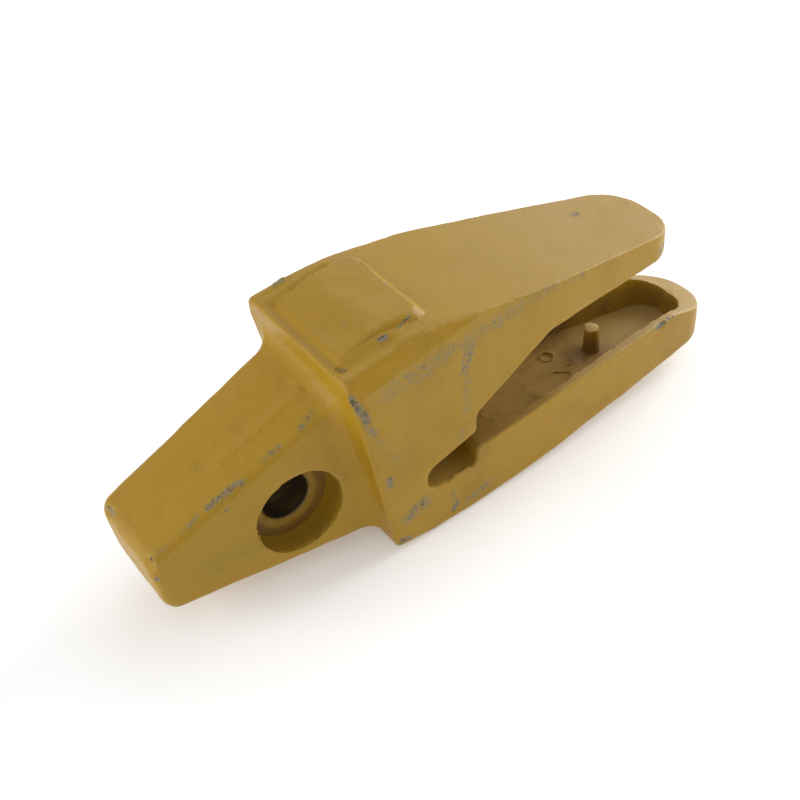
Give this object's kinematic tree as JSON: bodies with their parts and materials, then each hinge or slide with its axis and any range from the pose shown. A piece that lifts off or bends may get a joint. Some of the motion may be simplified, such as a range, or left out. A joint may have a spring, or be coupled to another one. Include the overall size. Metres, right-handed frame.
{
  "type": "bucket tooth adapter",
  "caption": "Weld-on bucket tooth adapter: a drooping wedge nose with a side pin bore, and a body whose straps straddle the lip plate of a digging bucket.",
  "frame": {"origin": "on the axis of the pin bore, in the mid plane of the casting", "axes": "+X from the nose towards the straps along the lip plate, +Y along the pin bore towards the plain side, +Z square to the lip plate on the side of the short strap"},
  "size_m": [0.3205, 0.0844, 0.1169],
  "materials": {
    "painted_casting": "yellow paint over rough cast steel, satin, chipped to bare steel on edges"
  },
  "bodies": {
    "root": {"adapter_casting": "painted_casting"}
  },
  "joints": []
}
